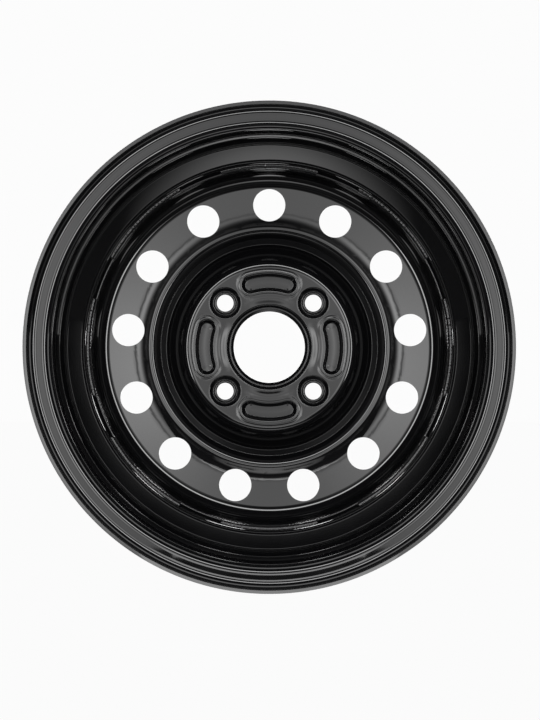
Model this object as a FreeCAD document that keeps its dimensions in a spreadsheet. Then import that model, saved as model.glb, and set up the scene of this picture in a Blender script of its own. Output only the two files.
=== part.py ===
import FreeCAD, Part
import math
import os
import re
import Sketcher

# A pressed steel car wheel in millimetres and degrees. It turns about Y, through the middle of the rim's
# width. The inboard side, towards the brake, faces -Y and the street side faces +Y.
SIZES = {
    # Rim, drawn on the tyre's side of its sheet
    "rim_gauge": 2.5,
    "bead_radius": 164.7,
    "rim_width": 139.7,
    "flange_height": 17.3,
    "flange_curl": 9.5,
    "lip_turn": 105,
    "lip_straight": 0.8,
    "heel_bend": 4,
    "seat_taper": 5,
    "seat_width": 19.5,
    "hump_rise": 1.4,
    "hump_run": 5,
    "hump_bend": 4,
    "hump_foot_bend": 4,
    "ledge_drop": 3.1,
    "ledge_fall": 1,
    "ledge_end": 9,
    "ledge_bend": 7,
    "well_depth": 18.5,
    "well_start": 2,
    "well_end": 33.5,
    "well_bend": 6,
    "valve_hole": 5.75,
    "valve_angle": 90,
    # Disc, drawn on the inboard side of its sheet
    "disc_gauge": 3.5,
    "fit_gap": 0.05,
    "inset": 38,
    "bore_radius": 28.55,
    "bore_bend": 5,
    "bore_lip": 12,
    "disc_edge": 28.5,
    "pad_radius": 69.4,
    "pad_bend": 8,
    # Pressing between the pad and the flange, drawn for this span and made larger or smaller with it
    "press_span": 70.75,
    "fold_out": 14.1,
    "fold_depth": 20.5,
    "fold_bend": 2,
    "shoulder_out": 26.1,
    "shoulder_depth": 12,
    "shoulder_bend": 5.5,
    "crown_out": 39.1,
    "crown_depth": 14.85,
    "crown_bend": 45,
    "corner_depth": 11.2,
    "corner_bend": 12.5,
    # Vents through the crown
    "vent_count": 13,
    "vent_hole": 13,
    "vent_out": 45.6,
    "vent_angle": 90,
    # Long dents pressed into the hub pad from the inboard side
    "dent_count": 4,
    "dent_angle": 0,
    "dent_circle": 52.3,
    "dent_sweep": 35.2,
    "dent_floor": 4,
    "dent_run": 3.3,
    "dent_depth": 3,
    "dent_round": 1.5,
    # Bolt seats, raised on the street side with a ring pressed in behind
    "bolt_count": 4,
    "bolt_angle": 45,
    "bolt_circle": 50,
    "bolt_hole": 6.75,
    "ball_radius": 13,
    "ball_mouth": 10.9,
    "boss_rise": 3,
    "boss_top": 12,
    "boss_run": 2.2,
    "boss_round": 1.2,
    "ring_mouth": 12.6,
    "ring_run": 2.2,
    "ring_floor": 0.8,
    "ring_depth": 2.4,
    "collar_run": 1.6,
    "collar_drop": 0.4,
    # How far a cut or a pressed shape runs on past a face
    "runout": 2,
    "runout_tilt": 8,
    # Weld runs between the disc's edge and the rim
    "weld_count": 8,
    "weld_angle": 0,
    "weld_sweep": 30,
    "weld_leg": 3.2,
    "weld_round": 2.8,
}

# Places that more than one shape is drawn from
HALF_WIDTH = "(rim_width / 2)"
WELL_TOP = "(bead_radius - well_depth)"
WELL_BACK = f"({WELL_TOP} - rim_gauge)"
SEAT_END = "(bead_radius - seat_width * tan(seat_taper))"
HUMP_TOP = f"({SEAT_END} + hump_rise)"
HUMP_PLACE = f"({HALF_WIDTH} - seat_width - hump_run)"
DISC_FLANGE = f"({WELL_BACK} - fit_gap - disc_gauge)"
DISC_EDGE = "(inset - disc_edge)"
PRESS_SCALE = f"(({DISC_FLANGE} - pad_radius) / press_span)"
STREET_FACE = "(inset + disc_gauge)"
MID_SHEET = "(inset + disc_gauge / 2)"
RUNOUT_FALL = "(runout * tan(runout_tilt))"
FULL_TURN = 360
HALF_TURN = 180

doc = FreeCAD.newDocument("wheel")
sheet = doc.addObject("Spreadsheet::Sheet", "Sizes")
for row, (alias, size) in enumerate(SIZES.items(), 1):
    sheet.set(f"A{row}", alias)
    sheet.set(f"B{row}", str(size))
    sheet.setAlias(f"B{row}", alias)
doc.recompute()


# Expressions are written with the sizes' bare names
def cells(text):
    return re.sub(r"[a-z]\w*", lambda word: f"Sizes.{word[0]}" if word[0] in SIZES else word[0], text)


def value(text):
    return float(sheet.evalExpression(cells(text)))


def bind(thing, target, text):
    thing.setExpression(target, cells(text))


def add_feature(home, kind, name):
    feature = home.newObject(kind, name) if home != doc else doc.addObject(kind, name)
    feature.Label = name
    return feature


# Rules that hold one end of a sketch shape at a place given by two expressions
def pin_rules(shape, end, name, place):
    rules = []
    for kind, text in zip(("DistanceX", "DistanceY"), place):
        rule = Sketcher.Constraint(kind, -1, 1, shape, end, value(text))
        rules.append((rule, f"{name}_{kind[-1].lower()}", text))
    return rules


# Add rules (constraint, name, expression) all at once, then bind those that have a name
def hold(sketch, rules):
    first = sketch.ConstraintCount
    sketch.addConstraint([rule for rule, name, text in rules])
    for number, (rule, name, text) in enumerate(rules, first):
        if name:
            sketch.renameConstraint(number, name)
            bind(sketch, f"Constraints.{name}", text)


# Where a bend leaves the run behind it, its middle, and where it joins the run ahead
def bend_places(corner, behind, ahead, radius):
    back = (behind - corner).normalize()
    on = (ahead - corner).normalize()
    half = back.getAngle(on) / 2
    reach = radius / math.tan(half)
    middle = (back + on).normalize() * (radius / math.sin(half) - radius)
    return corner + back * reach, corner + middle, corner + on * reach


# Straight runs between corners (x, y, bend), each bend a tangent arc or None for a sharp corner
def draw_outline(sketch, corners, closed):
    count = len(corners)
    places = [FreeCAD.Vector(value(x), value(y), 0) for x, y, bend in corners]
    stops = []
    for i, (x, y, bend) in enumerate(corners):
        if bend:
            stops.append(bend_places(places[i], places[i - 1], places[(i + 1) % count], value(bend)))
        else:
            stops.append((places[i], None, places[i]))
    runs = []
    for i in range(count if closed else count - 1):
        line = Part.LineSegment(stops[i][2], stops[(i + 1) % count][0])
        runs.append(sketch.addGeometry(line, False))
    rules = []
    for i, (x, y, bend) in enumerate(corners):
        point = sketch.addGeometry(Part.Point(places[i]), True)
        rules += pin_rules(point, 1, f"corner{i}", (x, y))
        behind = runs[i - 1] if closed or i > 0 else None
        ahead = runs[i] if i < len(runs) else None
        links = []
        if bend:
            start, middle, end = stops[i]
            arc = sketch.addGeometry(Part.Arc(start, middle, end), False)
            forward = sketch.getPoint(arc, 1).isEqual(start, 1e-6)
            first, last = (1, 2) if forward else (2, 1)
            links.append(Sketcher.Constraint("PointOnObject", point, 1, behind))
            links.append(Sketcher.Constraint("PointOnObject", point, 1, ahead))
            links.append(Sketcher.Constraint("Tangent", behind, 2, arc, first))
            links.append(Sketcher.Constraint("Tangent", ahead, 1, arc, last))
            rules.append((Sketcher.Constraint("Radius", arc, value(bend)), f"bend{i}", bend))
        else:
            if behind is not None:
                links.append(Sketcher.Constraint("Coincident", point, 1, behind, 2))
            if ahead is not None:
                links.append(Sketcher.Constraint("Coincident", point, 1, ahead, 1))
        rules += [(link, None, None) for link in links]
    hold(sketch, rules)


# A construction line to turn a sketch about
def draw_axis(sketch, start, end):
    places = [FreeCAD.Vector(value(x), value(y), 0) for x, y in (start, end)]
    line = sketch.addGeometry(Part.LineSegment(*places), True)
    hold(sketch, pin_rules(line, 1, "axis_start", start) + pin_rules(line, 2, "axis_end", end))


# Sheet metal turned about Y: a line bent to shape, given its gauge to one side
def turn_sheet(name, corners, gauge):
    line = add_feature(doc, "Sketcher::SketchObject", f"{name}_line")
    draw_outline(line, corners, closed=False)
    section = add_feature(doc, "Part::Offset2D", f"{name}_section")
    section.Source = line
    section.Mode = "Skin"
    section.Join = "Intersection"
    section.Fill = True
    bind(section, "Value", gauge)
    blank = add_feature(doc, "Part::Revolution", f"{name}_blank")
    blank.Source = section
    blank.Axis = FreeCAD.Vector(0, 1, 0)
    blank.Angle = FULL_TURN
    blank.Solid = True
    doc.recompute()
    body = add_feature(doc, "PartDesign::Body", name)
    body.BaseFeature = blank
    doc.recompute()
    return body


def origin_part(body, role):
    return next(part for part in body.Origin.OriginFeatures if part.Role == role)


# A sketch with its Y on the wheel's axis, turned to an angle that grows from +X towards +Z
def radial_sketch(body, name, angle):
    sketch = add_feature(body, "Sketcher::SketchObject", name)
    sketch.AttachmentSupport = [(origin_part(body, "XY_Plane"), "")]
    sketch.MapMode = "FlatFace"
    sketch.AttachmentOffset = FreeCAD.Placement(FreeCAD.Vector(), FreeCAD.Rotation(FreeCAD.Vector(0, 1, 0), 1))
    bind(sketch, "AttachmentOffset.Rotation.Angle", f"-({angle})")
    return sketch


# Turn a sketch about the wheel's axis, or about its own construction line
def turn_sketch(body, kind, sketch, axis, sweep, both_ways=False, backwards=False):
    feature = add_feature(body, f"PartDesign::{kind}", f"{sketch.Label}_turn")
    feature.Profile = (sketch, [""])
    feature.ReferenceAxis = (sketch, [axis])
    feature.Midplane = both_ways
    feature.Reversed = backwards
    bind(feature, "Angle", sweep)
    doc.recompute()
    return feature


def repeat_round(body, name, features, count):
    pattern = add_feature(body, "PartDesign::PolarPattern", name)
    pattern.Originals = features
    pattern.Axis = (origin_part(body, "Y_Axis"), [""])
    pattern.Angle = FULL_TURN
    bind(pattern, "Occurrences", count)
    body.Tip = pattern
    doc.recompute()


# Half of a shape raised on the street side, as (distance from its middle, height, bend)
def raised_half(top, run, rise, bend):
    foot = f"({top} + {run})"
    return [
        ("0", MID_SHEET, None),
        (f"{foot} + runout", MID_SHEET, None),
        (f"{foot} + runout", f"{STREET_FACE} - {RUNOUT_FALL}", None),
        (foot, STREET_FACE, bend),
        (top, f"{STREET_FACE} + {rise}", bend),
        ("0", f"{STREET_FACE} + {rise}", None),
    ]


# Half of a shape sunk into the inboard side
def sunk_half(floor, run, depth, bend):
    mouth = f"({floor} + {run})"
    return [
        ("0", f"inset + {depth}", None),
        (floor, f"inset + {depth}", bend),
        (mouth, "inset", bend),
        (f"{mouth} + runout", f"inset - {RUNOUT_FALL}", None),
        (f"{mouth} + runout", "inset - runout", None),
        ("0", "inset - runout", None),
    ]


# A long shape on a circle about Y: its middle stretch, and its section turned at each end to close it
def turn_long(body, kind, name, middle, end, path, end_turn):
    circle, angle, sweep = path
    stretch = radial_sketch(body, f"{name}_middle", angle)
    draw_outline(stretch, middle, closed=True)
    features = [turn_sketch(body, kind, stretch, "V_Axis", sweep, both_ways=True)]
    outside = value(end[1][0]) > value(circle)
    for side, word in ((1, "first"), (-1, "second")):
        tip = radial_sketch(body, f"{name}_{word}", f"{angle} + {side} * {sweep} / 2")
        draw_axis(tip, (circle, "0"), (circle, "inset"))
        draw_outline(tip, end, closed=True)
        features.append(turn_sketch(body, kind, tip, "Axis0", end_turn, backwards=(side > 0) == outside))
    return features


# A dent, or the shape that stands behind it, from half of its section
def press_long(body, kind, name, half):
    mirrored = [(f"-({out})", height, bend) for out, height, bend in half[-2:0:-1]]
    middle = [(f"dent_circle + {out}", height, bend) for out, height, bend in half[1:-1] + mirrored]
    end = [(f"dent_circle + {out}", height, bend) for out, height, bend in half]
    path = ("dent_circle", "dent_angle", "dent_sweep")
    features = turn_long(body, kind, name, middle, end, path, f"{HALF_TURN}")
    repeat_round(body, f"{name}_pattern", features, "dent_count")


# A pressed or punched shape that is round about a bolt's axis
def press_round(body, kind, name, outline):
    sketch = radial_sketch(body, name, "bolt_angle")
    draw_axis(sketch, ("bolt_circle", "0"), ("bolt_circle", "inset"))
    draw_outline(sketch, [(f"bolt_circle + {out}", height, bend) for out, height, bend in outline], closed=True)
    feature = turn_sketch(body, kind, sketch, "Axis0", f"{FULL_TURN}")
    repeat_round(body, f"{name}_pattern", [feature], "bolt_count")


def flange_corners(side):
    curl_reach = "flange_curl * tan(lip_turn / 2)"
    curl_corner = f"bead_radius + flange_height - flange_curl + {curl_reach}"
    lip = f"({curl_reach} + lip_straight)"
    return [
        (f"{curl_corner} + {lip} * cos(lip_turn)", f"{side} * ({HALF_WIDTH} + {lip} * sin(lip_turn))", None),
        (curl_corner, f"{side} * {HALF_WIDTH}", "flange_curl"),
        ("bead_radius", f"{side} * {HALF_WIDTH}", "heel_bend"),
        (SEAT_END, f"{side} * ({HALF_WIDTH} - seat_width)", "hump_foot_bend"),
        (HUMP_TOP, f"{side} * {HUMP_PLACE}", "hump_bend"),
    ]


def make_rim():
    ledge = "(bead_radius - ledge_drop)"
    well = [
        (ledge, f"-({HUMP_PLACE} - hump_run)", "hump_foot_bend"),
        (f"{ledge} - ledge_fall", "-ledge_end", "ledge_bend"),
        (WELL_TOP, "well_start", "well_bend"),
        (WELL_TOP, "well_end", "well_bend"),
    ]
    body = turn_sheet("rim", flange_corners(-1) + well + flange_corners(1)[::-1], "-rim_gauge")

    # The valve hole is square to the middle of the street side's well slope
    rise = f"({HUMP_TOP} - {WELL_TOP})"
    run = f"({HUMP_PLACE} - well_end)"
    length = f"sqrt({rise}^2 + {run}^2)"
    along = (f"{rise} / {length}", f"{run} / {length}")
    across = (f"{run} / {length}", f"-{rise} / {length}")
    middle = (f"({HUMP_TOP} + {WELL_TOP}) / 2", f"({HUMP_PLACE} + well_end) / 2")

    def from_middle(out, over):
        return [f"{middle[i]} + ({out}) * {across[i]} + ({over}) * {along[i]}" for i in range(2)]

    reach = "(rim_gauge + runout)"
    ends = [from_middle(reach, "0"), from_middle(f"-{reach}", "0")]
    sides = [from_middle(f"-{reach}", "valve_hole"), from_middle(reach, "valve_hole")]
    sketch = radial_sketch(body, "valve_hole", "valve_angle")
    draw_axis(sketch, *ends)
    draw_outline(sketch, [(x, y, None) for x, y in ends + sides], closed=True)
    turn_sketch(body, "Groove", sketch, "Axis0", f"{FULL_TURN}")
    return body


def pressed(size):
    return f"({size} * {PRESS_SCALE})"


def pressed_corner(name):
    place = (f"pad_radius + {pressed(name + '_out')}", f"inset + {pressed(name + '_depth')}")
    return *place, pressed(f"{name}_bend")


def make_disc():
    corners = [
        ("bore_radius", "inset + bore_lip", None),
        ("bore_radius", "inset", "bore_bend"),
        ("pad_radius", "inset", "pad_bend"),
        pressed_corner("fold"),
        pressed_corner("shoulder"),
        pressed_corner("crown"),
        (DISC_FLANGE, f"inset + {pressed('corner_depth')}", pressed("corner_bend")),
        (DISC_FLANGE, DISC_EDGE, None),
    ]
    body = turn_sheet("disc", corners, "-disc_gauge")

    # Dents and bosses keep about the sheet's gauge where their walls lean
    spread = "disc_gauge * tan(atan2(dent_depth; dent_run) / 2)"
    dent_back = raised_half(f"(dent_floor + {spread})", "dent_run", "dent_depth", "dent_round")
    press_long(body, "Revolution", "dent_back", dent_back)
    boss = raised_half("boss_top", "boss_run", "boss_rise", "boss_round")
    press_round(body, "Revolution", "boss", boss)
    press_long(body, "Groove", "dent", sunk_half("dent_floor", "dent_run", "dent_depth", "dent_round"))

    ring_outer = "(ring_mouth - ring_run)"
    ring_inner = f"({ring_outer} - ring_floor)"
    ring = [
        ("0", "inset - runout", None),
        ("0", "inset + collar_drop", None),
        (f"{ring_inner} - collar_run", "inset + collar_drop", None),
        (ring_inner, "inset + ring_depth", None),
        (ring_outer, "inset + ring_depth", None),
        ("ring_mouth", "inset", "boss_round"),
        ("ring_mouth + runout", f"inset - {RUNOUT_FALL}", None),
        ("ring_mouth + runout", "inset - runout", None),
    ]
    press_round(body, "Groove", "ring", ring)
    top = f"{STREET_FACE} + boss_rise + runout"
    hole = [("0", "inset - runout"), ("bolt_hole", "inset - runout")]
    hole += [("bolt_hole", top), ("0", top)]
    press_round(body, "Groove", "bolt_hole", [(out, height, None) for out, height in hole])

    ball = add_feature(body, "PartDesign::SubtractiveSphere", "ball_seat")
    ball.AttachmentSupport = [(origin_part(body, "XY_Plane"), "")]
    ball.MapMode = "FlatFace"
    bind(ball, "Radius", "ball_radius")
    bind(ball, "AttachmentOffset.Base.x", "bolt_circle * cos(bolt_angle)")
    bind(ball, "AttachmentOffset.Base.y", f"{STREET_FACE} + boss_rise + sqrt(ball_radius^2 - ball_mouth^2)")
    bind(ball, "AttachmentOffset.Base.z", "bolt_circle * sin(bolt_angle)")
    doc.recompute()
    repeat_round(body, "ball_seat_pattern", [ball], "bolt_count")

    vent = add_feature(body, "Sketcher::SketchObject", "vent")
    vent.AttachmentSupport = [(origin_part(body, "XZ_Plane"), "")]
    vent.MapMode = "FlatFace"
    vent_circle = f"(pad_radius + {pressed('vent_out')})"
    vent_hole = pressed("vent_hole")
    centre = (f"{vent_circle} * cos(vent_angle)", f"{vent_circle} * sin(vent_angle)")
    place = FreeCAD.Vector(value(centre[0]), value(centre[1]), 0)
    circle = vent.addGeometry(Part.Circle(place, FreeCAD.Vector(0, 0, 1), value(vent_hole)), False)
    radius = Sketcher.Constraint("Radius", circle, value(vent_hole))
    hold(vent, pin_rules(circle, 3, "centre", centre) + [(radius, "radius", vent_hole)])
    punch = add_feature(body, "PartDesign::Pocket", "vent_punch")
    punch.Profile = vent
    punch.Type = "ThroughAll"
    punch.Midplane = True
    doc.recompute()
    repeat_round(body, "vent_pattern", [punch], "vent_count")
    return body


# Rounded beads in the corner between the disc's edge and the rim's well. Each end is turned about that corner,
# short of a quarter turn so that it stays inside the well's curve.
def make_weld_runs():
    body = add_feature(doc, "PartDesign::Body", "weld_runs")
    section = [
        (WELL_BACK, DISC_EDGE, None),
        (f"{WELL_BACK} - weld_leg", DISC_EDGE, None),
        (f"{WELL_BACK} - weld_leg", f"{DISC_EDGE} - weld_leg", "weld_round"),
        (WELL_BACK, f"{DISC_EDGE} - weld_leg", None),
    ]
    path = (WELL_BACK, "weld_angle", "weld_sweep")
    end_turn = f"90 deg - asin(weld_leg / (2 * {WELL_BACK}))"
    features = turn_long(body, "Revolution", "bead", section, section, path, end_turn)
    repeat_round(body, "bead_pattern", features, "weld_count")
    return body


pieces = [make_rim(), make_disc(), make_weld_runs()]
doc.recompute()
for thing in doc.Objects:
    if "Invalid" in thing.State or "Error" in thing.State:
        raise RuntimeError(f"{thing.Label} did not build")
os.makedirs("parts", exist_ok=True)
for piece in pieces:
    if piece.Shape.isNull() or not piece.Shape.isValid():
        raise RuntimeError(f"{piece.Label} is not a valid shape")
    piece.Shape.exportStep(f"parts/{piece.Label}.step")
    print(piece.Label, len(piece.Shape.Solids), "solids", round(piece.Shape.Volume), "mm3", piece.Shape.BoundBox)
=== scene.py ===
import bisect
import math
import random

import bmesh
import bpy
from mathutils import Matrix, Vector


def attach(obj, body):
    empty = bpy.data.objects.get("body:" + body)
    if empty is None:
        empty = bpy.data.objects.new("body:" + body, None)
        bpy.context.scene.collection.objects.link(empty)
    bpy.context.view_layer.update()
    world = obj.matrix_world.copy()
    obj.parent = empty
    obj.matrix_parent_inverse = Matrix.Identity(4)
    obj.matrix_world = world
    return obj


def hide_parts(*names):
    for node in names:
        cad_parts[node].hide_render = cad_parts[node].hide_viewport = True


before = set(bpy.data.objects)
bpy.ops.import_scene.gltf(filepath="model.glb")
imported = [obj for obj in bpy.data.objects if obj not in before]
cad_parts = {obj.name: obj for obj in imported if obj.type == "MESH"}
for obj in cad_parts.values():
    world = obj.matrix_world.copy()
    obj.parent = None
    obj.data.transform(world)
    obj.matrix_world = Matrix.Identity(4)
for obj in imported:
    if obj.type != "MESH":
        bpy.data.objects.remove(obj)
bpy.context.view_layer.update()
print("frame loaded:", ", ".join(sorted(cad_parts)))

# The wheel turns about Y. Sections are drawn in mm as (radius, along, bend), with along on Y.
mm = 0.001
turnSteps = 364  # 13 vent sectors of 28 steps, or 4 bolt sectors of 35 and 4 dent sectors of 56
stepAngle = 2 * math.pi / turnSteps
mergeDist = 0.000002  # metres
sharpAngle = 0.9  # radians: a sheet's cut edge turns more than this, a step of a bend less


def polar(radius, along, angle):
    return Vector((radius * math.cos(angle), along, radius * math.sin(angle))) * mm


# Where a bend starts and ends on its two runs, with its middle and its signed turn
def bendAt(before, corner, after, radius):
    way = (corner - before).normalized()
    onward = (after - corner).normalized()
    turn = math.atan2(way.x * onward.y - way.y * onward.x, way.dot(onward))
    reach = radius * math.tan(abs(turn) / 2)
    start = corner - way * reach
    side = Vector((-way.y, way.x)) * math.copysign(1, turn)
    return start, corner + onward * reach, start + side * radius, turn


# Bend a line through the corners, lifted off them to its left by part of a sheet's gauge.
# A corner's fourth value is the number of rows in the run after it.
def bendLine(bm, corners, lift=0.0, bendStep=10.0):
    places = [Vector(corner[:2]) for corner in corners]
    last = len(corners) - 1

    def lifted(place, number):
        way = (places[number + 1] - places[number]).normalized()
        return place + Vector((-way.y, way.x)) * lift

    line = [bm.verts.new((lifted(places[0], 0) * mm).to_3d())]

    def runTo(place, rows):
        start = line[-1].co.copy()
        end = (place * mm).to_3d()
        if (end - start).length < mergeDist:
            return
        for row in range(1, rows + 1):
            line.append(bmesh.ops.extrude_vert_indiv(bm, verts=[line[-1]])["verts"][0])
            line[-1].co = start.lerp(end, row / rows)

    for number in range(1, last + 1):
        bend = corners[number][2] if number < last else 0
        rows = corners[number - 1][3] if len(corners[number - 1]) > 3 else 1
        if not bend:
            runTo(lifted(places[number], number - 1), rows)
            continue
        start, end, middle, turn = bendAt(places[number - 1], places[number], places[number + 1], bend)
        runTo(lifted(start, number - 1), rows)
        steps = max(2, math.ceil(abs(math.degrees(turn)) / bendStep))
        for step in range(steps):
            made = bmesh.ops.spin(
                bm, geom=[line[-1]], cent=(middle * mm).to_3d(), axis=(0, 0, 1),
                angle=turn / steps, steps=1,
            )
            line.append(next(item for item in made["geom_last"] if isinstance(item, bmesh.types.BMVert)))
    return line


# The points of a bent line, for rings that follow it
def bentPoints(corners, bendStep=15.0):
    scratch = bmesh.new()
    points = [(vert.co.x / mm, vert.co.y / mm) for vert in bendLine(scratch, corners, 0.0, bendStep)]
    scratch.free()
    return points


# Turn the bent lines all the way round Y
def turnLines(bm):
    bmesh.ops.spin(
        bm, geom=bm.verts[:] + bm.edges[:], cent=(0, 0, 0), axis=(0, -1, 0), angle=2 * math.pi,
        steps=turnSteps, use_merge=True,
    )


# The edge of a sector between two radii, as (radius, angle), once round
def sectorEdge(inner, outer, middle, arcSteps, sideSteps):
    half = arcSteps * stepAngle / 2
    width = outer - inner
    edge = [(inner, middle - half + i * stepAngle) for i in range(arcSteps)]
    edge += [(inner + width * i / sideSteps, middle + half) for i in range(sideSteps)]
    edge += [(outer, middle + half - i * stepAngle) for i in range(arcSteps)]
    edge += [(outer - width * i / sideSteps, middle - half) for i in range(sideSteps)]
    return edge


def startLoop(bm, places):
    loop = bmesh.ops.create_circle(bm, segments=len(places), radius=1)["verts"]
    for vert, place in zip(loop, places):
        vert.co = place
    return loop


# Extrude a closed loop of vertices to new places
def pullLoop(bm, loop, places):
    edges = [bm.edges.get(pair) for pair in zip(loop, loop[1:] + loop[:1])]
    made = bmesh.ops.extrude_edge_only(bm, edges=edges)["geom"]
    old = set(loop)
    partner = {}
    for vert in made:
        if isinstance(vert, bmesh.types.BMVert):
            root = next(e.other_vert(vert) for e in vert.link_edges if e.other_vert(vert) in old)
            partner[root] = vert
    fresh = [partner[vert] for vert in loop]
    for vert, place in zip(fresh, places):
        vert.co = place
    return fresh


def joinPart(bm, part):
    mesh = bpy.data.meshes.new("part")
    part.to_mesh(mesh)
    part.free()
    bm.from_mesh(mesh)
    bpy.data.meshes.remove(mesh)


# Build one sector and copy it round the wheel
def sectorsRound(bm, count, build, *settings):
    sector = bmesh.new()
    build(sector, *settings)
    bmesh.ops.spin(
        sector, geom=sector.verts[:] + sector.edges[:] + sector.faces[:], cent=(0, 0, 0), axis=(0, -1, 0),
        angle=2 * math.pi * (count - 1) / count, steps=count - 1, use_duplicate=True,
    )
    joinPart(bm, sector)


def mergeMesh(bm):
    bmesh.ops.remove_doubles(bm, verts=bm.verts[:], dist=mergeDist)
    bmesh.ops.dissolve_degenerate(bm, edges=bm.edges[:], dist=mergeDist)
    bmesh.ops.recalc_face_normals(bm, faces=bm.faces[:])


def roundEdges(bm, edgeRound):
    sharp = [edge for edge in bm.edges if edge.is_manifold and edge.calc_face_angle() > sharpAngle]
    bmesh.ops.bevel(
        bm, geom=sharp, offset=edgeRound * mm, offset_type="OFFSET", affect="EDGES", segments=2,
        profile=0.5, material=-1, clamp_overlap=True,
    )
    print("  edges rounded:", len(sharp))


def makePiece(bm, name, node, coat):
    openEdges = sum(not edge.is_manifold for edge in bm.edges)
    for face in bm.faces:
        face.smooth = True
    mesh = bpy.data.meshes.new(name)
    bm.to_mesh(mesh)
    bm.free()
    mesh.materials.append(coat)
    piece = bpy.data.objects.new(name, mesh)
    bpy.context.scene.collection.objects.link(piece)
    flats = piece.modifiers.new("flat runs stay flat", "WEIGHTED_NORMAL")
    flats.mode = "FACE_AREA"
    flats.weight = 50
    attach(piece, "root")
    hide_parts(node)
    triangles = sum(len(face.vertices) - 2 for face in mesh.polygons)
    print(" ", name, triangles, "triangles,", openEdges, "open edges")
    return piece


# sRGB hex to linear
def hexColour(text):
    parts = [int(text[i:i + 2], 16) / 255 for i in (1, 3, 5)]
    return (*[part / 12.92 if part <= 0.04045 else ((part + 0.055) / 1.055) ** 2.4 for part in parts], 1)


# Add a node with its settings, values and links
def addNode(tree, kind, settings=None, values=None, links=None):
    node = tree.nodes.new(kind)
    for name, setting in (settings or {}).items():
        setattr(node, name, setting)
    for name, number in (values or {}).items():
        node.inputs[name].default_value = number
    for name, source in (links or {}).items():
        tree.links.new(source, node.inputs[name])
    return node


# Gloss black stove enamel over dipped primer: a hard, wet-looking skin with a slight orange peel, and edges
# that shine because the coat is round there. Widths and depths are in mm.
paint = {
    "colour": "#050506",
    "shade": "#09090a",
    "roughness": 0.05,
    "roughShares": (0.8, 1.3),  # of the roughness, in the clearest and the cloudiest places
    "peelWidth": 3.5,
    "peelDepth": 0.002,
    "cloudWidth": 60.0,
    "cloudRange": (0.3, 0.7),
}


def stoveEnamel():
    material = bpy.data.materials.new("gloss black stove enamel")
    material.use_nodes = True
    tree = material.node_tree
    tree.nodes.clear()
    place = addNode(tree, "ShaderNodeTexCoord").outputs["Object"]
    cloud = addNode(
        tree, "ShaderNodeTexNoise", None,
        {"Scale": 1 / (paint["cloudWidth"] * mm), "Detail": 3.0, "Roughness": 0.6}, {"Vector": place},
    ).outputs["Fac"]
    # Colours are the Mix node's inputs 6 and 7 and its output 2
    colour = addNode(
        tree, "ShaderNodeMix", {"data_type": "RGBA"},
        {6: hexColour(paint["colour"]), 7: hexColour(paint["shade"])}, {"Factor": cloud},
    )
    peel = addNode(
        tree, "ShaderNodeTexNoise", None,
        {"Scale": 1 / (paint["peelWidth"] * mm), "Detail": 2.0, "Roughness": 0.45}, {"Vector": place},
    )
    peelBump = addNode(
        tree, "ShaderNodeBump", None,
        {"Strength": 1.0, "Distance": paint["peelDepth"] * mm}, {"Height": peel.outputs["Fac"]},
    )
    clear, cloudy = (paint["roughness"] * share for share in paint["roughShares"])
    low, high = paint["cloudRange"]
    gloss = addNode(
        tree, "ShaderNodeMapRange", None,
        {"From Min": low, "From Max": high, "To Min": clear, "To Max": cloudy}, {"Value": cloud},
    )
    shader = addNode(
        tree, "ShaderNodeBsdfPrincipled", None, {"IOR": 1.5},
        {
            "Base Color": colour.outputs[2],
            "Roughness": gloss.outputs["Result"],
            "Normal": peelBump.outputs["Normal"],
        },
    )
    addNode(tree, "ShaderNodeOutputMaterial", None, None, {"Surface": shader.outputs["BSDF"]})
    return material


enamel = stoveEnamel()
print("paint mixed")

# Rim: one rolled sheet, drawn on the tyre's side from the inboard lip to the street side's
rim = {
    "gauge": 2.5,
    # Lip, heel, bead seat and hump, the same on both sides
    "flange": [
        (181.64, 82.58, 0), (183.43, 69.85, 9.5), (164.7, 69.85, 5), (163.68, 50.35, 4),
        (164.39, 45.35, 4),
    ],
    "well": [(161.6, -40.35, 4), (160.6, -9, 7), (146.2, 2, 6), (146.2, 33.5, 6)],
    "slopeRows": 6,
    "valveHole": 5.75,
    "valveAngle": math.pi / 2,
    "valveSteps": 8,
    "valveRings": [0.7, 0.42, 0.2, 0.07, 0.0],
    "edgeRound": 0.5,
}


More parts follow.
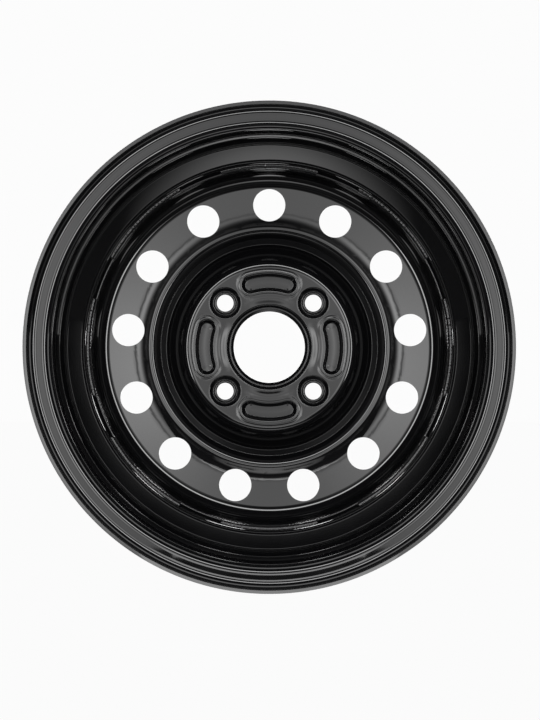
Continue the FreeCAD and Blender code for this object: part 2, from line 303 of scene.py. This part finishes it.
def cutValveHole(bm):
    foot = Vector(rim["well"][-1][:2])
    top = Vector(rim["flange"][-1][:2])
    beyond = Vector(rim["flange"][-2][:2])
    before = Vector(rim["well"][-2][:2])
    start = bendAt(before, foot, top, rim["well"][-1][2])[1]
    end = bendAt(foot, top, beyond, rim["flange"][-1][2])[0]
    way = (top - foot).normalized()
    side = Vector((-way.y, way.x))
    length = (end - start).length
    window = rim["valveSteps"] * stepAngle / 2
    slack = 0.2
    gone = []
    for face in bm.faces:
        spot = face.calc_center_median() / mm
        flat = Vector((math.hypot(spot.x, spot.z), spot.y)) - start
        inRun = 0 < flat.dot(way) < length and -slack < flat.dot(side) < rim["gauge"] + slack
        turn = math.atan2(spot.z, spot.x) - rim["valveAngle"]
        if inRun and abs(turn) < window:
            gone.append(face)
    bmesh.ops.delete(bm, geom=gone, context="FACES")

    # Rings from the window's edge to the hole, through the sheet, and out again on the other face
    edge = sectorEdge(0, length, 0, rim["valveSteps"], rim["slopeRows"])
    middle = ((foot + top) / 2 - start).dot(way)

    def ring(share, lift):
        places = []
        for along, angle in edge:
            spread = angle * (start + way * along).x
            out = Vector((along - middle, spread))
            reach = rim["valveHole"] + (out.length - rim["valveHole"]) * share
            out = out.normalized() * reach
            onFace = start + way * (middle + out.x)
            spot = onFace + side * lift
            places.append(polar(spot.x, spot.y, rim["valveAngle"] + out.y / onFace.x))
        return places

    loop = startLoop(bm, ring(1.0, 0.0))
    for share in rim["valveRings"]:
        loop = pullLoop(bm, loop, ring(share, 0.0))
    for share in rim["valveRings"][::-1] + [1.0]:
        loop = pullLoop(bm, loop, ring(share, rim["gauge"]))
    print("  valve window:", len(gone), "faces")


def makeRim():
    bm = bmesh.new()
    inboard = [(radius, -along, bend) for radius, along, bend in rim["flange"]]
    well = rim["well"][:-1] + [(*rim["well"][-1], rim["slopeRows"])]
    corners = inboard + well + rim["flange"][::-1]
    tyreSide = bendLine(bm, corners)
    airSide = bendLine(bm, corners, rim["gauge"])
    for end in (0, -1):
        bm.edges.new((tyreSide[end], airSide[end]))
    turnLines(bm)
    bmesh.ops.remove_doubles(bm, verts=bm.verts[:], dist=mergeDist)
    cutValveHole(bm)
    mergeMesh(bm)
    roundEdges(bm, rim["edgeRound"])
    makePiece(bm, "rim_hoop", "rim", enamel)


makeRim()
print("rim rolled")

# Disc: one pressed sheet, drawn on the inboard side from the bore's lip to the flange's edge
disc = {
    "gauge": 3.5,
    "land": 38.0,
    "boreFace": [
        (28.55, 50, 0), (28.55, 40.9, 0.8), (31.0, 39.75, 0.6), (31.9, 39.75, 0.4), (34.4, 38, 2.4),
        (35.2, 38, 0),
    ],
    "boreBack": [(32.05, 50, 0), (32.05, 41.5, 1.5), (35.2, 41.5, 0)],
    "fold": [(63.5, 38, 0), (67.8, 38, 8), (83.5, 58.5, 0.5), (88.3, 57.3, 0.8)],
    "shoulder": (94, 6.5),  # radius and bend
    # Slopes of the valley that the vents are punched through, in degrees, at their radii
    "valley": [(99.0, 12), (100.5, 12), (108.0, 0.6), (108.9, -5), (110.6, -6.58), (128.9, -6.58)],
    "valleyStep": 0.1,
    "corner": (140.15, 49.2, 12.5),
    "flangeEnd": [(140.15, 9.5, 1.0), (143.65, 10.7, 0)],
    "edgeRound": 0.45,
}
vents = {
    "count": 13,
    "circle": 115.0,
    "hole": 13.0,
    "firstAngle": math.pi / 2,
    "sideSteps": 12,
    "rings": [0.72, 0.46, 0.24, 0.09, 0.0],
}
bolts = {
    "count": 4,
    "circle": 50.0,
    "firstAngle": math.pi / 4,
    "sweep": 0.0,
    "steps": 35,
    "sideSteps": 12,
    # Away from the bolt's axis: the ring pressed in behind, the hole, then the ball seat and its boss
    "section": [
        (13.4, 38, 0), (12.6, 38, 2.0), (9.3, 40.5, 0.4), (8.3, 38.5, 1.0), (6.75, 39.3, 0),
        (6.75, 40.47, 0), (9.285, 42.013, 13), (10.9, 44.5, 0), (12.0, 44.5, 0.8), (14.2, 41.5, 0.8),
        (14.7, 41.5, 0),
    ],
}
dents = {
    "count": 4,
    "circle": 52.3,
    "firstAngle": math.pi / 2,
    "sweep": math.radians(33.4),
    "steps": 56,
    "sideSteps": 12,
    "tilt": 0.032,  # how much a dent's floor falls towards the outside
    "floor": [(8.9, 38, 0), (6.9, 38, 2.6), (4.5, 41, 1.0), (0.0, 41, 0)],
    "back": [(9.15, 41.5, 0), (8.653, 41.5, 1.2), (5.353, 44.5, 1.5), (0.0, 44.5, 0)],
}
# Slight hollows that the press left in the pad: one round each dent, one between the dents and the bore
relief = {
    "dip": 0.3,
    "dipStart": 8.6,
    "dipWidth": 2.5,
    "groove": 0.45,
    "grooveAt": 39.2,
    "grooveHalf": 3.95,
    "grooveEnds": (math.radians(9), math.radians(36)),
    "boltClear": (13.4, 17.0),
    "shares": [0.8, 0.6, 0.41, 0.23, 0.09],
}


# The valley's section as (radius, height, slope), worked inwards from the corner
def drawValley():
    knots = [(radius, math.radians(slope)) for radius, slope in disc["valley"]]
    radius, slope = knots[-1]
    rows = [(radius, disc["corner"][1] - (disc["corner"][0] - radius) * math.tan(slope), slope)]
    for inner, outer in list(zip(knots, knots[1:]))[::-1]:
        steps = round((outer[0] - inner[0]) / disc["valleyStep"])
        for i in range(1, steps + 1):
            radius, slope = (high + (low - high) * i / steps for low, high in zip(inner, outer))
            rise = (radius - rows[-1][0]) * math.tan((slope + rows[-1][2]) / 2)
            rows.append((radius, rows[-1][1] + rise, slope))
    return rows[::-1]


valleyRows = drawValley()
valleyFaces = {
    lift: [(r - lift * math.sin(slope), y + lift * math.cos(slope)) for r, y, slope in valleyRows]
    for lift in (0.0, disc["gauge"])
}


def valleyHeight(radius, lift):
    rows = valleyFaces[lift]
    number = max(1, min(len(rows) - 1, bisect.bisect(rows, (radius, 0.0))))
    (lowR, lowY), (highR, highY) = rows[number - 1], rows[number]
    return lowY + (highY - lowY) * (radius - lowR) / (highR - lowR)


# Rings from the sector's edge to the hole on the inboard face, and out again on the street side's
def ventSector(bm):
    middle = vents["firstAngle"]
    arcSteps = turnSteps // vents["count"]
    centre = polar(vents["circle"], 0, middle) / mm

    def ring(share, lift):
        inner, outer = valleyFaces[lift][0][0], valleyFaces[lift][-1][0]
        places = []
        for radius, angle in sectorEdge(inner, outer, middle, arcSteps, vents["sideSteps"]):
            out = polar(radius, 0, angle) / mm - centre
            spot = centre + out.normalized() * (vents["hole"] + (out.length - vents["hole"]) * share)
            places.append(Vector((spot.x, valleyHeight(math.hypot(spot.x, spot.z), lift), spot.z)) * mm)
        return places

    loop = startLoop(bm, ring(1.0, 0.0))
    for share in vents["rings"]:
        loop = pullLoop(bm, loop, ring(share, 0.0))
    for share in vents["rings"][::-1] + [1.0]:
        loop = pullLoop(bm, loop, ring(share, disc["gauge"]))


def smoothStep(number, ends):
    share = max(0.0, min(1.0, (number - ends[0]) / (ends[1] - ends[0])))
    return share * share * (3 - 2 * share)


# The third side of a triangle with its corner at the wheel's middle
def spanBetween(sideA, sideB, angle):
    return math.sqrt(max(0.0, sideA ** 2 + sideB ** 2 - 2 * sideA * sideB * math.cos(angle)))


def padRelief(spot):
    radius = math.hypot(spot.x, spot.z)
    quarter = 2 * math.pi / dents["count"]
    fromDent = (math.atan2(spot.z, spot.x) + quarter / 2) % quarter - quarter / 2
    past = max(0.0, abs(fromDent) - dents["sweep"] / 2)
    outside = spanBetween(radius, dents["circle"], past) - relief["dipStart"]
    share = outside / relief["dipWidth"]
    dip = relief["dip"] * (1 - math.cos(2 * math.pi * share)) / 2 if 0 < share < 1 else 0.0
    offset = min(1.0, abs(radius - relief["grooveAt"]) / relief["grooveHalf"])
    filled = (1 + math.cos(math.pi * offset)) / 2 * (1 - smoothStep(abs(fromDent), relief["grooveEnds"]))
    fromBolt = spanBetween(radius, bolts["circle"], abs(fromDent) - quarter / 2)
    return (dip * (1 - filled) + relief["groove"] * filled) * smoothStep(fromBolt, relief["boltClear"])


# Rings round a line on the hub pad, from the sector's edge in to its middle or through it and out again
def padSector(bm, shape, side, throughHole):
    middle, halfSweep = shape["firstAngle"], shape["sweep"] / 2
    edge = sectorEdge(disc["boreFace"][-1][0], disc["fold"][0][0], middle, shape["steps"], shape["sideSteps"])
    spines = []
    for radius, angle in edge:
        turn = max(-halfSweep, min(halfSweep, angle - middle))
        spines.append((polar(shape["circle"], 0, middle + turn) / mm, polar(radius, 0, angle) / mm))

    def isAt(height, level):
        return abs(height - level) < 0.01

    def ring(out, height, share=0.0):
        places = []
        for spine, border in spines:
            spot = (spine + (border - spine).normalized() * out).lerp(border, share)
            hollow = padRelief(spot) if isAt(height, disc["land"]) else 0.0
            if isAt(height, dents["floor"][-1][1]):
                hollow = dents["tilt"] * (math.hypot(spot.x, spot.z) - dents["circle"])
            places.append(Vector((spot.x, height + hollow, spot.z)) * mm)
        return places

    points = bentPoints(shape[side])
    first, last = points[0], points[-1]
    loop = startLoop(bm, ring(*first, 1.0))
    for share in relief["shares"] if isAt(first[1], disc["land"]) else (0.5,):
        loop = pullLoop(bm, loop, ring(*first, share))
    for out, height in points:
        loop = pullLoop(bm, loop, ring(out, height))
    if throughHole:
        for share in (0.5, 1.0):
            loop = pullLoop(bm, loop, ring(*last, share))


# The valley is shaded by its true slope, because its faces fan out round the vents
def shadeValley(piece):
    onFace, slopeReach, border = 0.003, 0.05, 0.01
    inner, outer = valleyRows[0][0] + border, valleyRows[-1][0] - border
    group = piece.vertex_groups.new(name="vent ring")
    normals = []
    for vert in piece.data.vertices:
        radius = math.hypot(vert.co.x, vert.co.z) / mm
        normal = Vector()
        for lift, way in ((0.0, 1), (disc["gauge"], -1)):
            if inner < radius < outer and abs(vert.co.y / mm - valleyHeight(radius, lift)) < onFace:
                rise = valleyHeight(radius + slopeReach, lift) - valleyHeight(radius - slopeReach, lift)
                outward = Vector((vert.co.x, 0, vert.co.z)).normalized()
                normal = (outward * (rise / (2 * slopeReach)) + Vector((0, -1, 0))).normalized() * way
        normals.append(normal)
        if normal.length > 0:
            group.add([vert.index], 1.0, "REPLACE")
    piece.data.normals_split_custom_set_from_vertices(normals)
    flats = piece.modifiers["flat runs stay flat"]
    flats.vertex_group = group.name
    flats.invert_vertex_group = True


def makeDisc():
    bm = bmesh.new()
    face, back = bendLine(bm, disc["boreFace"]), bendLine(bm, disc["boreBack"])
    bm.edges.new((face[0], back[0]))
    ventIn, ventOut = (*valleyRows[0][:2], 0), (*valleyRows[-1][:2], 0)
    # The fold's shoulder stands where it runs straight into the valley
    shoulderR, shoulderBend = disc["shoulder"]
    shoulderY = ventIn[1] - (ventIn[0] - shoulderR) * math.tan(valleyRows[0][2])
    for lift in (0.0, disc["gauge"]):
        bendLine(bm, disc["fold"] + [(shoulderR, shoulderY, shoulderBend), ventIn], lift)
    edgeR, edgeY = disc["corner"][0], disc["flangeEnd"][-1][1]
    bendLine(bm, [ventOut, disc["corner"]] + disc["flangeEnd"])
    bendLine(bm, [ventOut, disc["corner"], (edgeR, edgeY, 0)], disc["gauge"])
    bmesh.ops.remove_doubles(bm, verts=bm.verts[:], dist=mergeDist)
    turnLines(bm)
    sectorsRound(bm, vents["count"], ventSector)
    sectorsRound(bm, bolts["count"], padSector, bolts, "section", True)
    for side in ("floor", "back"):
        sectorsRound(bm, dents["count"], padSector, dents, side, False)
    mergeMesh(bm)
    roundEdges(bm, disc["edgeRound"])
    shadeValley(makePiece(bm, "pressed_disc", "disc", enamel))


makeDisc()
print("disc pressed")

# Weld runs: rippled beads in the corner between the disc's edge and the rim's well
weld = {
    "count": 8,
    "corner": (143.7, 10.0),
    "leg": 3.4,
    "round": 2.8,
    "bendStep": 15.0,
    "sweep": math.radians(32.4),
    "steps": 170,
    "endRun": math.radians(1.3),
    "endTrim": 0.001,  # share of an end's run that is drawn in to a point, so that the end closes
    "ripple": math.radians(1.15),
    "rippleDepth": 0.035,
    "rippleScatter": 0.15,
    "wander": 0.035,
    "seed": 7,
}


def rippleBead(part, draw, run):
    cornerR, cornerY = weld["corner"]
    ripples = int(weld["sweep"] / weld["ripple"]) + 2
    scatter = weld["rippleScatter"]
    sizes = [draw.uniform(1 - 2 * weld["wander"], 1.0) for number in range(ripples)]
    starts = [(number + draw.uniform(-scatter, scatter)) * weld["ripple"] for number in range(ripples)]
    for vert in part.verts:
        radius = math.hypot(vert.co.x, vert.co.z)
        angle = math.atan2(vert.co.z, vert.co.x)
        number = max(i for i in range(ripples) if starts[i] <= angle or i == 0)
        share = min(1.0, max(0.0, (angle - starts[number]) / weld["ripple"]))
        size = sizes[number] * (1 - weld["rippleDepth"] * (2 * share - 1) ** 2)
        fromEnd = max(0.0, min(angle, weld["sweep"] - angle) / weld["endRun"] - weld["endTrim"])
        if fromEnd < 1:
            size *= math.sqrt(max(0.0, 1 - (1 - fromEnd) ** 2))
        spotR = cornerR + (radius / mm - cornerR) * size
        spotY = cornerY + (vert.co.y / mm - cornerY) * size
        vert.co = polar(spotR, spotY, angle - weld["sweep"] / 2 + run * 2 * math.pi / weld["count"])


def makeWelds():
    bm = bmesh.new()
    draw = random.Random(weld["seed"])
    cornerR, cornerY = weld["corner"]
    inner, low = cornerR - weld["leg"], cornerY - weld["leg"]
    section = [(cornerR, cornerY, 0), (inner, cornerY, 0), (inner, low, weld["round"]), (cornerR, low, 0)]
    for run in range(weld["count"]):
        part = bmesh.new()
        line = bendLine(part, section, 0.0, weld["bendStep"])
        part.edges.new((line[-1], line[0]))
        bmesh.ops.spin(
            part, geom=part.verts[:] + part.edges[:], cent=(0, 0, 0), axis=(0, -1, 0),
            angle=weld["sweep"], steps=weld["steps"],
        )
        rippleBead(part, draw, run)
        mergeMesh(part)
        joinPart(bm, part)
    makePiece(bm, "weld_beads", "weld_runs", enamel)


makeWelds()
print("welds laid")

# A white sweep for the camera. For reflections: soft glows round the camera, a thin ring of light round
# the wheel's axis, a white band round its sides and a white backdrop. The rest of the room is dark.
studio = {
    "white": "#fcfcfc",
    "room": 0.03,
    # Across and up, as tangents of the angle off the axis, how far each spreads, and how bright it is
    "glows": [
        (-0.2, 0.04, 0.09, 0.14, 5.8), (0.2, 0.04, 0.09, 0.14, 6.3),
        (0.0, 0.17, 0.12, 0.07, 1.3), (0.0, -0.17, 0.12, 0.07, 1.8), (0.0, 0.0, 0.07, 0.08, 0.5),
    ],
    # Cosines of the angle off the axis, and how bright: middle and spread, or two ends
    "ring": (0.819, 0.025, 14.0),
    "band": (0.29, 0.36, 2.2),
    "backdrop": (0.84, 0.93, 1.6),
    "floorSize": (6.0, -0.55, 3.0),  # width, front and back, in metres
    "floorLevel": -0.182,
    "floorGrey": "#404040",
    # The rest of what the camera sees of the floor is its grey, which takes the shadow
    "floorShare": 0.985,
    "floorGlow": 1.005,
    # Mirrored in the paint, the floor turns white between these two places along Y, with a brighter
    # stripe under the wheel's middle
    "floorWhite": (-0.17, -0.12),
    "stripeSpread": 0.06,
    "stripeGlow": 1.4,
}


def calc(tree, operation, *inputs):
    plain = {i: put for i, put in enumerate(inputs) if isinstance(put, (int, float))}
    linked = {i: put for i, put in enumerate(inputs) if i not in plain}
    return addNode(tree, "ShaderNodeMath", {"operation": operation}, plain, linked).outputs[0]


# A bell curve of a value round its middle
def bell(tree, number, middle, spread):
    off = calc(tree, "DIVIDE", calc(tree, "SUBTRACT", number, middle), spread)
    return calc(tree, "EXPONENT", calc(tree, "MULTIPLY", calc(tree, "MULTIPLY", off, off), -0.5))


# A soft step from low to high, times its height
def ramp(tree, number, low, high, height):
    step = addNode(
        tree, "ShaderNodeMapRange", {"interpolation_type": "SMOOTHSTEP"},
        {"From Min": low, "From Max": high, "To Max": height}, {"Value": number},
    )
    return step.outputs["Result"]


def setWorld():
    world = bpy.data.worlds.new("white studio")
    world.use_nodes = True
    tree = world.node_tree
    tree.nodes.clear()
    path = addNode(tree, "ShaderNodeLightPath").outputs
    direction = addNode(tree, "ShaderNodeTexCoord").outputs["Generated"]
    axes = addNode(tree, "ShaderNodeSeparateXYZ", None, None, {"Vector": direction}).outputs
    along = calc(tree, "ABSOLUTE", axes["Y"])
    across = calc(tree, "DIVIDE", axes["X"], along)
    upward = calc(tree, "DIVIDE", axes["Z"], along)
    inFront = calc(tree, "LESS_THAN", axes["Y"], 0.0)
    light = studio["room"]
    for middleX, middleZ, spreadX, spreadZ, glow in studio["glows"]:
        inColumn = bell(tree, across, middleX, spreadX)
        inRow = bell(tree, upward, middleZ, spreadZ)
        spot = calc(tree, "MULTIPLY", calc(tree, "MULTIPLY", inColumn, inRow), inFront)
        light = calc(tree, "MULTIPLY_ADD", spot, glow, light)
    middle, spread, glow = studio["ring"]
    light = calc(tree, "MULTIPLY_ADD", bell(tree, along, middle, spread), glow, light)
    inner, outer, glow = studio["band"]
    light = calc(tree, "ADD", light, ramp(tree, calc(tree, "MULTIPLY", along, -1.0), -outer, -inner, glow))
    light = calc(tree, "ADD", light, ramp(tree, axes["Y"], *studio["backdrop"]))
    seen = calc(tree, "MAXIMUM", path["Is Camera Ray"], path["Is Transmission Ray"])
    strength = addNode(
        tree, "ShaderNodeMix", {"data_type": "FLOAT"}, {"B": 1.0}, {"Factor": seen, "A": light}
    )
    shade = addNode(
        tree, "ShaderNodeBackground", None, {"Color": hexColour(studio["white"])},
        {"Strength": strength.outputs["Result"]},
    )
    addNode(tree, "ShaderNodeOutputWorld", None, None, {"Surface": shade.outputs["Background"]})
    bpy.context.scene.world = world


# Matt white floor paint: evenly white to the camera, with the wheel's shadow faint in it
def floorPaint():
    material = bpy.data.materials.new("matt white floor")
    material.use_nodes = True
    tree = material.node_tree
    tree.nodes.clear()
    path = addNode(tree, "ShaderNodeLightPath").outputs
    place = addNode(tree, "ShaderNodeTexCoord").outputs["Object"]
    axes = addNode(tree, "ShaderNodeSeparateXYZ", None, None, {"Vector": place}).outputs
    whiteBehind = ramp(tree, axes["Y"], *studio["floorWhite"], 1.0)
    mirrored = calc(tree, "MULTIPLY", path["Is Glossy Ray"], whiteBehind)
    seen = calc(tree, "MAXIMUM", path["Is Camera Ray"], mirrored)
    inStripe = bell(tree, axes["X"], 0.0, studio["stripeSpread"])
    stripe = calc(tree, "MULTIPLY", path["Is Glossy Ray"], inStripe)
    matt = addNode(tree, "ShaderNodeBsdfDiffuse", None, {"Color": hexColour(studio["floorGrey"])})
    white = addNode(
        tree, "ShaderNodeEmission", None, {"Color": hexColour(studio["white"])},
        {"Strength": calc(tree, "MULTIPLY_ADD", stripe, studio["stripeGlow"], studio["floorGlow"])},
    )
    mixed = addNode(
        tree, "ShaderNodeMixShader", None, None,
        {
            "Fac": calc(tree, "MULTIPLY", seen, studio["floorShare"]),
            1: matt.outputs["BSDF"],
            2: white.outputs["Emission"],
        },
    )
    addNode(tree, "ShaderNodeOutputMaterial", None, None, {"Surface": mixed.outputs["Shader"]})
    return material


def makeFloor():
    bm = bmesh.new()
    width, front, back = studio["floorSize"]
    corners = [(-width / 2, front), (width / 2, front), (width / 2, back), (-width / 2, back)]
    bm.faces.new([bm.verts.new((x, y, studio["floorLevel"])) for x, y in corners])
    mesh = bpy.data.meshes.new("floor")
    bm.to_mesh(mesh)
    bm.free()
    mesh.materials.append(floorPaint())
    floor = bpy.data.objects.new("floor", mesh)
    bpy.context.scene.collection.objects.link(floor)


# A small strip light by the wheel's foot, turned down to the floor. A glow of 1 is white.
strip = {"place": (0, -0.3, -0.15), "faces": (0, 0.6, -0.8), "size": (0.16, 0.08), "glow": 3.2}


def hangStrip():
    light = bpy.data.lights.new("low strip", "AREA")
    light.shape = "RECTANGLE"
    light.size, light.size_y = strip["size"]
    light.energy = strip["glow"] * math.pi * strip["size"][0] * strip["size"][1]
    lamp = bpy.data.objects.new("low strip", light)
    lamp.location = strip["place"]
    lamp.rotation_euler = Vector(strip["faces"]).to_track_quat("-Z", "Y").to_euler()
    lamp.visible_camera = False
    bpy.context.scene.collection.objects.link(lamp)


# Square on to the inboard side. The lens and sensor are in mm.
view = {"distance": 1.4126, "lens": 90.36, "sensor": 36, "shiftX": 0.00104, "shiftY": -0.01778}


def setCamera():
    data = bpy.data.cameras.new("camera")
    data.lens = view["lens"]
    data.sensor_width = view["sensor"]
    data.shift_x, data.shift_y = view["shiftX"], view["shiftY"]
    camera = bpy.data.objects.new("camera", data)
    camera.location = (0, -view["distance"], 0)
    camera.rotation_euler = (math.pi / 2, 0, 0)
    bpy.context.scene.collection.objects.link(camera)
    bpy.context.scene.camera = camera


setWorld()
makeFloor()
hangStrip()
setCamera()
bpy.context.scene.view_settings.view_transform = "Standard"
print("studio set")
